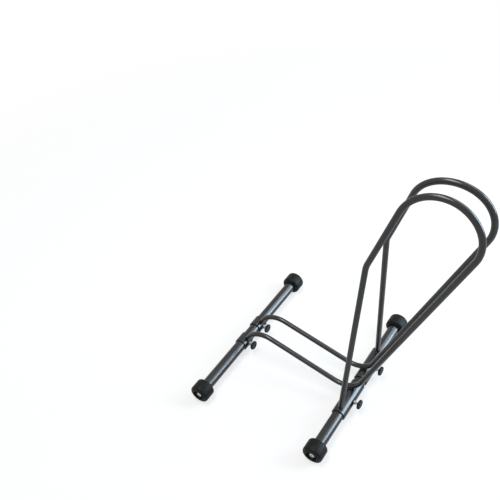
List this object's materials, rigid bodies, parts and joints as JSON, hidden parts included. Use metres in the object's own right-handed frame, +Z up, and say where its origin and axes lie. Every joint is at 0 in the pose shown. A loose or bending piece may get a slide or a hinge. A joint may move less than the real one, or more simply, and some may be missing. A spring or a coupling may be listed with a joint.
{
  "type": "floor bike rack",
  "caption": "Floor rack with two adjustable bent tube hoops on two crossbars with round rubber feet; a wheel stands in the slot between the hoops.",
  "frame": {"origin": "on the floor, under the middle of the rack's bounding box", "axes": "+Z up, +X from the rear crossbar towards the tall loops, +Y to the left along the crossbars"},
  "size_m": [0.537, 0.45, 0.6254],
  "materials": {
    "frame_paint": "glossy hammered metallic charcoal paint",
    "foot_rubber": "satin moulded rubber",
    "knob_plastic": "fine matte texture",
    "screw_steel": "zinc plated",
    "plug_plastic": "plain moulded"
  },
  "bodies": {
    "base": {"rear_crossbar": "frame_paint", "rear_right_foot": "foot_rubber", "rear_right_tube_plug": "plug_plastic", "rear_left_foot": "foot_rubber", "rear_left_tube_plug": "plug_plastic", "front_crossbar": "frame_paint", "front_right_foot": "foot_rubber", "front_right_tube_plug": "plug_plastic", "front_left_foot": "foot_rubber", "front_left_tube_plug": "plug_plastic", "foot_screws": "screw_steel", "foot_washers": "screw_steel"},
    "right_hoop_body": {"right_hoop": "frame_paint", "right_rear_sleeve": "frame_paint", "right_rear_clamp_nut": "screw_steel", "right_front_sleeve": "frame_paint", "right_front_clamp_nut": "screw_steel"},
    "right_rear_clamp_screw_body": {"right_rear_clamp_screw": "screw_steel"},
    "right_rear_knob_body": {"right_rear_knob": "knob_plastic"},
    "right_front_clamp_screw_body": {"right_front_clamp_screw": "screw_steel"},
    "right_front_knob_body": {"right_front_knob": "knob_plastic"},
    "left_hoop_body": {"left_hoop": "frame_paint", "left_rear_sleeve": "frame_paint", "left_rear_clamp_nut": "screw_steel", "left_front_sleeve": "frame_paint", "left_front_clamp_nut": "screw_steel"},
    "left_rear_clamp_screw_body": {"left_rear_clamp_screw": "screw_steel"},
    "left_rear_knob_body": {"left_rear_knob": "knob_plastic"},
    "left_front_clamp_screw_body": {"left_front_clamp_screw": "screw_steel"},
    "left_front_knob_body": {"left_front_knob": "knob_plastic"}
  },
  "joints": [
    {"name": "right_hoop_slide", "type": "slide", "parent": "base", "child": "right_hoop_body", "axis": [0, -1, 0], "range_m": [-0.005, 0.084]},
    {"name": "right_rear_screw_travel", "type": "slide", "parent": "right_hoop_body", "child": "right_rear_clamp_screw_body", "axis": [1, 0, 0], "range_m": [0, 0.002]},
    {"name": "right_rear_knob_turn", "type": "hinge", "parent": "right_rear_clamp_screw_body", "child": "right_rear_knob_body", "pos_m": [-0.21705, -0.032, 0.0235], "axis": [1, 0, 0], "range_deg": [0, 720]},
    {"name": "right_front_screw_travel", "type": "slide", "parent": "right_hoop_body", "child": "right_front_clamp_screw_body", "axis": [1, 0, 0], "range_m": [0, 0.002]},
    {"name": "right_front_knob_turn", "type": "hinge", "parent": "right_front_clamp_screw_body", "child": "right_front_knob_body", "pos_m": [0.08695, -0.0545, 0.0235], "axis": [1, 0, 0], "range_deg": [0, 720]},
    {"name": "left_hoop_slide", "type": "slide", "parent": "base", "child": "left_hoop_body", "axis": [0, 1, 0], "range_m": [-0.005, 0.084]},
    {"name": "left_rear_screw_travel", "type": "slide", "parent": "left_hoop_body", "child": "left_rear_clamp_screw_body", "axis": [1, 0, 0], "range_m": [0, 0.002]},
    {"name": "left_rear_knob_turn", "type": "hinge", "parent": "left_rear_clamp_screw_body", "child": "left_rear_knob_body", "pos_m": [-0.21705, 0.032, 0.0235], "axis": [1, 0, 0], "range_deg": [0, 720]},
    {"name": "left_front_screw_travel", "type": "slide", "parent": "left_hoop_body", "child": "left_front_clamp_screw_body", "axis": [1, 0, 0], "range_m": [0, 0.002]},
    {"name": "left_front_knob_turn", "type": "hinge", "parent": "left_front_clamp_screw_body", "child": "left_front_knob_body", "pos_m": [0.08695, 0.0545, 0.0235], "axis": [1, 0, 0], "range_deg": [0, 720]}
  ],
  "couplings": [
    {"joint": "right_rear_screw_travel", "follows": "right_rear_knob_turn", "m_per_rad": 0.00015915},
    {"joint": "right_front_screw_travel", "follows": "right_front_knob_turn", "m_per_rad": 0.00015915},
    {"joint": "left_rear_screw_travel", "follows": "left_rear_knob_turn", "m_per_rad": 0.00015915},
    {"joint": "left_front_screw_travel", "follows": "left_front_knob_turn", "m_per_rad": 0.00015915}
  ]
}
